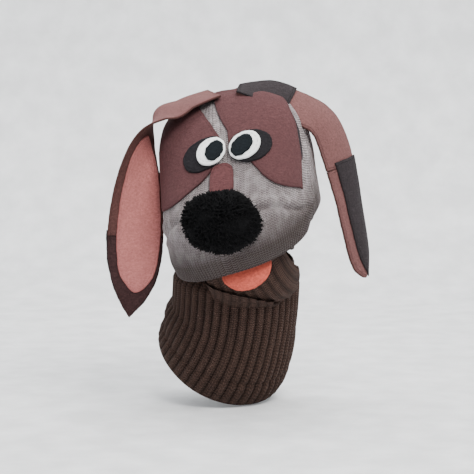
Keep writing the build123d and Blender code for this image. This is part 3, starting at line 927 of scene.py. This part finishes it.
rib_wave = np.cos(turn * RIBS)
rib_profile = (2 * np.abs(np.cos(turn * RIBS / 2)) ** 0.55 - 1) - 0.3
shell, course = [], []
for share, depth in ((0.16, -3.0), (0.09, -3.1), (0.03, -3.2), (0.008, -2.9)):
    shell.append(sleeve_row(share, np.full(RIB_COLUMNS, depth) - 0.3 * rib_wave))
    course.append(-share * 90)
shell.append(sleeve_row(0.0, np.full(RIB_COLUMNS, -1.9)) + opening_axis * 0.9)
course.append(-0.6)
shell.append(sleeve_row(0.0, np.full(RIB_COLUMNS, -0.7)) + opening_axis * 1.1)
course.append(-0.3)
for r in range(SLEEVE_ROWS):
    share = r / (SLEEVE_ROWS - 1)
    amplitude = smooth(share / 0.05) * (1 - 0.65 * smooth((share - 0.82) / 0.14))
    groove = -0.9 * math.exp(-((share - 0.150) / 0.012) ** 2)
    shell.append(sleeve_row(share, rib_profile * (0.35 + 0.65 * amplitude) + groove - 0.25))
    course.append(share * 90)
for share, depth in ((0.995, -1.6), (0.93, -1.9), (0.80, -2.0)):
    shell.append(sleeve_row(share, np.full(RIB_COLUMNS, depth)))
    course.append(90 + (1 - share) * 90)
shell = np.array(shell)
shell += (soft_noise(shell, 17.0)[..., None] * 0.5 + soft_noise(shell, 7.0, 3.0)[..., None] * 0.15) \
    * np.array([1.0, 1.0, 0.2])
uv = np.stack([np.tile(turn / (2 * math.pi) * RIBS * 2 + 0.5, (len(shell), 1)),
               np.repeat(np.array(course)[:, None], RIB_COLUMNS, 1) / RIB_COURSE], -1)
sleeve = make_object("rib_knit_sleeve", shell.reshape(-1, 3), grid_faces(len(shell), RIB_COLUMNS, True),
                     uv.reshape(-1, 2))
finish(sleeve, rib_knit, "sleeve", ("rib_sleeve", "rib_collar", "cuff_hem"))


def wrist_ribs(points, normals):
    """Shallow ribs round the wrist."""
    flat = points - wrist
    rib = np.arctan2(flat[:, 0], -flat[:, 1]) / (2 * math.pi) * RIBS
    ribbed = points + normals * (0.12 * np.cos(rib * 2 * math.pi))[:, None]
    return ribbed, np.stack([rib * 2 + 0.5, flat[:, 2] / RIB_COURSE], -1)


finish(soften("rib_wrist", "wrist_rib_knit", 0.8, 3, wrist_ribs), rib_knit, "neck",
       ("rib_wrist",))

# ---- tongue ------------------------------------------------------------------------------------------------
tongue_root = np.array(joints["tongue_swing"]["pos_m"]) / MM
tongue_up = np.array([0, 0.14, 1.0])
tongue_up -= tongue_up @ jaw_across * jaw_across
tongue_up /= np.linalg.norm(tongue_up)
tongue_out = np.cross(jaw_across, tongue_up)
TONGUE_WIDTH, TONGUE_LENGTH = 34.0, 22.5


def on_tongue(u, v, lift):
    """A point of the tongue, u across it and v up from its root, folded at the lip and curling out below."""
    fold = 0.9 * np.exp(-((v + 4.6 + 0.02 * u) / 1.6) ** 2) - 0.9 * np.exp(-((v + 8.2) / 2.4) ** 2)
    curl = 2.2 * smooth((-v - 8) / 16) + 0.0016 * u * u * smooth(-v / 12)
    out = np.asarray(lift) + fold * 0.8 + curl
    middle = tongue_root + (u - 2.5)[:, None] * jaw_across + (v + 8.5)[:, None] * tongue_up
    return middle + out[:, None] * tongue_out


half = TONGUE_WIDTH / 2
arc = np.linspace(0, math.pi, 40)
tongue_tip = np.stack([half * np.cos(arc), -TONGUE_LENGTH * 0.4 - TONGUE_LENGTH * 0.6 * np.sin(arc)], -1)
tongue_outline = np.vstack([[(half, 0.0), (half + 0.3, -4.5)], tongue_tip,
                            [(-half - 0.3, -4.5), (-half, 0.0)]])
tongue = slab("tongue_felt", tongue_outline, on_tongue, 0.0, 1.3, step=1.0)
finish(tongue, coral, "tongue", ("tongue",))

# ---- ears --------------------------------------------------------------------------------------------------
# Each path point: its place, the direction across the ear there, and its share of the ear's full width.
# seam and lining are heights in the row frame.
EARS = {
    "right": dict(width=37.0, seam=84.0, lining=(47.0, 150.0), cup=1.6, path=[
        ((-3, -15, 176), (0.05, 0.97, 0.20), 0.75), ((-23, -21, 169.5), (0.2, 0.93, 0.32), 0.85),
        ((-40, -28, 160.5), (0.3, 0.86, 0.42), 0.9), ((-50.5, -31, 143), (0.5, 0.86, 0.1), 0.85),
        ((-54, -33, 112), (0.86, 0.5, 0), 0.96), ((-55.5, -33, 82), (0.97, 0.2, 0), 1.0),
        ((-57, -32, 55), (1, 0, 0), 0.78), ((-60, -31, 30), (1, 0, 0), 0.12)]),
    "left": dict(width=30.0, seam=129.0, lining=(62.0, 150.0), cup=3.0, path=[
        ((11, -20, 178), (-0.02, -0.98, -0.22), 0.6), ((33, -22, 176.5), (-0.1, -0.88, -0.46), 1.05),
        ((51, -23, 169), (-0.2, -0.8, -0.56), 1.15), ((66, -23, 161), (-0.45, -0.78, -0.42), 1.1),
        ((75, -22, 146), (-0.6, -0.78, -0.2), 1.05), ((83, -21, 118), (-0.6, -0.8, -0.12), 1.0),
        ((88.5, -20, 92), (-0.55, -0.83, -0.1), 0.95), ((93, -19, 70), (-0.5, -0.85, -0.1), 0.78),
        ((95.5, -18, 55), (-0.5, -0.85, -0.1), 0.35)]),
}


class Ear:
    """A felt strip along a path: length along it, width across it, lift towards its inner face."""

    def __init__(self, spec):
        middle = np.array([p for p, _, _ in spec["path"]], float)
        wide = np.array([w for _, w, _ in spec["path"]], float)
        wide /= np.linalg.norm(wide, axis=1, keepdims=True)
        t = np.linspace(0, 1, 500)
        self.points = spline(middle, t)
        self.wide = spline(wide, t)
        self.half = spline(np.array([s for _, _, s in spec["path"]]), t) * spec["width"] / 2
        tangent = np.gradient(self.points, axis=0)
        step = np.linalg.norm(tangent, axis=1)
        tangent /= step[:, None]
        self.wide -= np.sum(self.wide * tangent, 1, keepdims=True) * tangent
        self.wide /= np.linalg.norm(self.wide, axis=1, keepdims=True)
        self.inner = np.cross(tangent, self.wide)
        self.along = np.concatenate([[0], np.cumsum(np.linalg.norm(np.diff(self.points, axis=0), axis=1))])
        self.cup = spec["cup"]

    def at_height(self, z):
        """The length along the ear at which it passes a height."""
        return float(np.interp(-z, -self.points[:, 2], self.along))

    def at(self, table, s):
        return np.stack([np.interp(s, self.along, table[:, k]) for k in range(3)], -1)

    def place(self, s, w, lift):
        """A point of the cupped ear, s along it and w across it."""
        half = np.maximum(np.interp(s, self.along, self.half), 4.0)
        bow = self.cup * smooth(s / 40) * (w / half) ** 2 + 0.5 * np.sin(s / 11.0) * (w / half)
        return self.at(self.points, s) + self.at(self.wide, s) * w[:, None] \
            + self.at(self.inner, s) * (np.asarray(lift) + bow)[:, None]

    def outline(self, start, stop, inset=0.0, round_start=0.0, round_stop=0.0, far_inset=None):
        """The strip's edge between two lengths, inset all round, with rounded ends."""
        s = np.linspace(start, stop, 90)
        half = np.interp(s, self.along, self.half) - inset
        other = half + inset - (inset if far_inset is None else far_inset)
        rounded = np.ones(len(s))
        for length, from_end in ((round_start, s - start), (round_stop, stop - s)):
            if length:
                t = np.clip(from_end / length, 0, 1)
                rounded = rounded * np.sqrt(np.clip(1 - (1 - t) ** 2, 0.0, 1))
        middle = (other - half) / 2
        spread = np.maximum((other + half) / 2 * rounded, 0.4)
        return np.vstack([np.stack([s, middle + spread], -1), np.stack([s, middle - spread], -1)[::-1]])


for side, spec in EARS.items():
    ear = Ear(spec)
    end = ear.along[-1]
    seam = ear.at_height(spec["seam"])
    body = "ear_" + side
    is_right = side == "right"
    tip_round = 14.0 if is_right else 9.0
    strip = slab("ear_felt_" + side, ear.outline(0.5, seam), ear.place, -1.5, 1.5, step=1.6,
                 back=light_mauve)
    # the ear's inner face takes the shade-painted mauve felt, its outer face light_mauve
    finish(strip, shade_painted_mauve, body, ("ear_outer_" + side,), back=light_mauve)
    tip = slab("ear_tip_felt_" + side, ear.outline(seam + 0.1, end, round_stop=tip_round), ear.place,
               -1.55, 1.6, step=1.6, back=dark_brown)
    finish(tip, temple_felt if is_right else shade_painted_mauve, body, ("ear_tip_" + side,),
           back=dark_brown if is_right else light_mauve)
    facing_start = ear.at_height(spec["seam"] + 4)
    rear_only = None if is_right else 0.45 * ear.half[-200]
    facing_outline = ear.outline(facing_start, end - 0.3, -0.5, round_stop=tip_round, far_inset=rear_only)
    facing = slab("ear_facing_felt_" + side, facing_outline, ear.place, -2.8, 1.15, step=1.6)
    finish(facing, charcoal, body, ("ear_tip_facing_" + side,))
    first, last = (ear.at_height(z) for z in spec["lining"][::-1])
    lining_outline = ear.outline(first, last, 6.0 if is_right else 4.0, 22.0, 16.0, far_inset=2.0)
    lining = slab("ear_lining_felt_" + side, lining_outline, ear.place, 0.1, 1.2, step=1.4)
    finish(lining, pink, body, ("ear_lining_" + side,))

left_ear = Ear(EARS["left"])
spot_end = float(np.interp(46.0, left_ear.points[:, 0], left_ear.along))
spot = slab("ear_spot_felt_left", left_ear.outline(0.3, spot_end, -0.3), left_ear.place, -2.8, 1.2)
finish(spot, charcoal, "ear_left", ("ear_spot_left",))

# ---- stage, light and camera -------------------------------------------------------------------------------
CURVE_START, CURVE_RADIUS, STAGE_HALF, WALL_HEIGHT = 420, 260, 1600, 1600
floor_z = cad_box[0][2] / MM - 1.0
profile = [(-1400.0, floor_z), (-600, floor_z), (0, floor_z), (CURVE_START, floor_z)]
for a in np.linspace(0.1, math.pi / 2, 14):
    profile.append((CURVE_START + CURVE_RADIUS * math.sin(a), floor_z + CURVE_RADIUS * (1 - math.cos(a))))
profile.append((CURVE_START + CURVE_RADIUS, floor_z + WALL_HEIGHT))
across_stage = np.linspace(-STAGE_HALF, STAGE_HALF, 9)
stage_points = [(x, y, z) for y, z in profile for x in across_stage]
stage = make_object("floor_sweep", stage_points, grid_faces(len(profile), len(across_stage), False))
stage.data.materials.append(plain("pale_wall", (226, 227, 228), 0.9, 40))

world = bpy.data.worlds.new("studio")
world.use_nodes = True
world.node_tree.nodes["Background"].inputs["Color"].default_value = (0.93, 0.96, 1.0, 1)
world.node_tree.nodes["Background"].inputs["Strength"].default_value = 0.68
bpy.context.scene.world = world


def area_light(name, place, aim, size, energy, colour=(1, 1, 1)):
    """A rectangular lamp at a place, turned to its aim; metres and watts."""
    data = bpy.data.lights.new(name, "AREA")
    data.shape = "RECTANGLE"
    data.size, data.size_y = size
    data.energy = energy
    data.color = colour
    obj = bpy.data.objects.new(name, data)
    obj.location = place
    obj.rotation_euler = (Vector(aim) - Vector(place)).to_track_quat("-Z", "Y").to_euler()
    bpy.context.scene.collection.objects.link(obj)


PUPPET_MIDDLE = (0.01, -0.03, 0.10)
area_light("key", (0.42, -0.80, 1.05), PUPPET_MIDDLE, (0.8, 0.6), 24.0, (1.0, 0.985, 0.96))
area_light("fill", (-0.95, -0.85, 0.40), PUPPET_MIDDLE, (0.9, 0.9), 4.5, (0.95, 0.97, 1.0))
area_light("wash", (0.0, 0.15, 1.35), (0.0, 0.62, 0.2), (1.6, 0.5), 23.0)

camera_data = bpy.data.cameras.new("camera")
camera_data.sensor_width = 36.0
camera_data.lens = 138.0
camera = bpy.data.objects.new("camera", camera_data)
CAMERA_DISTANCE = 1.2
tilt = math.radians(6)
aim = Vector((0.011, -0.018, 0.082))
camera.location = aim + Vector((0, -math.cos(tilt), math.sin(tilt))) * CAMERA_DISTANCE
camera.rotation_euler = (math.pi / 2 - tilt, 0, 0)
camera_data.clip_end = 10
bpy.context.scene.collection.objects.link(camera)
bpy.context.scene.camera = camera
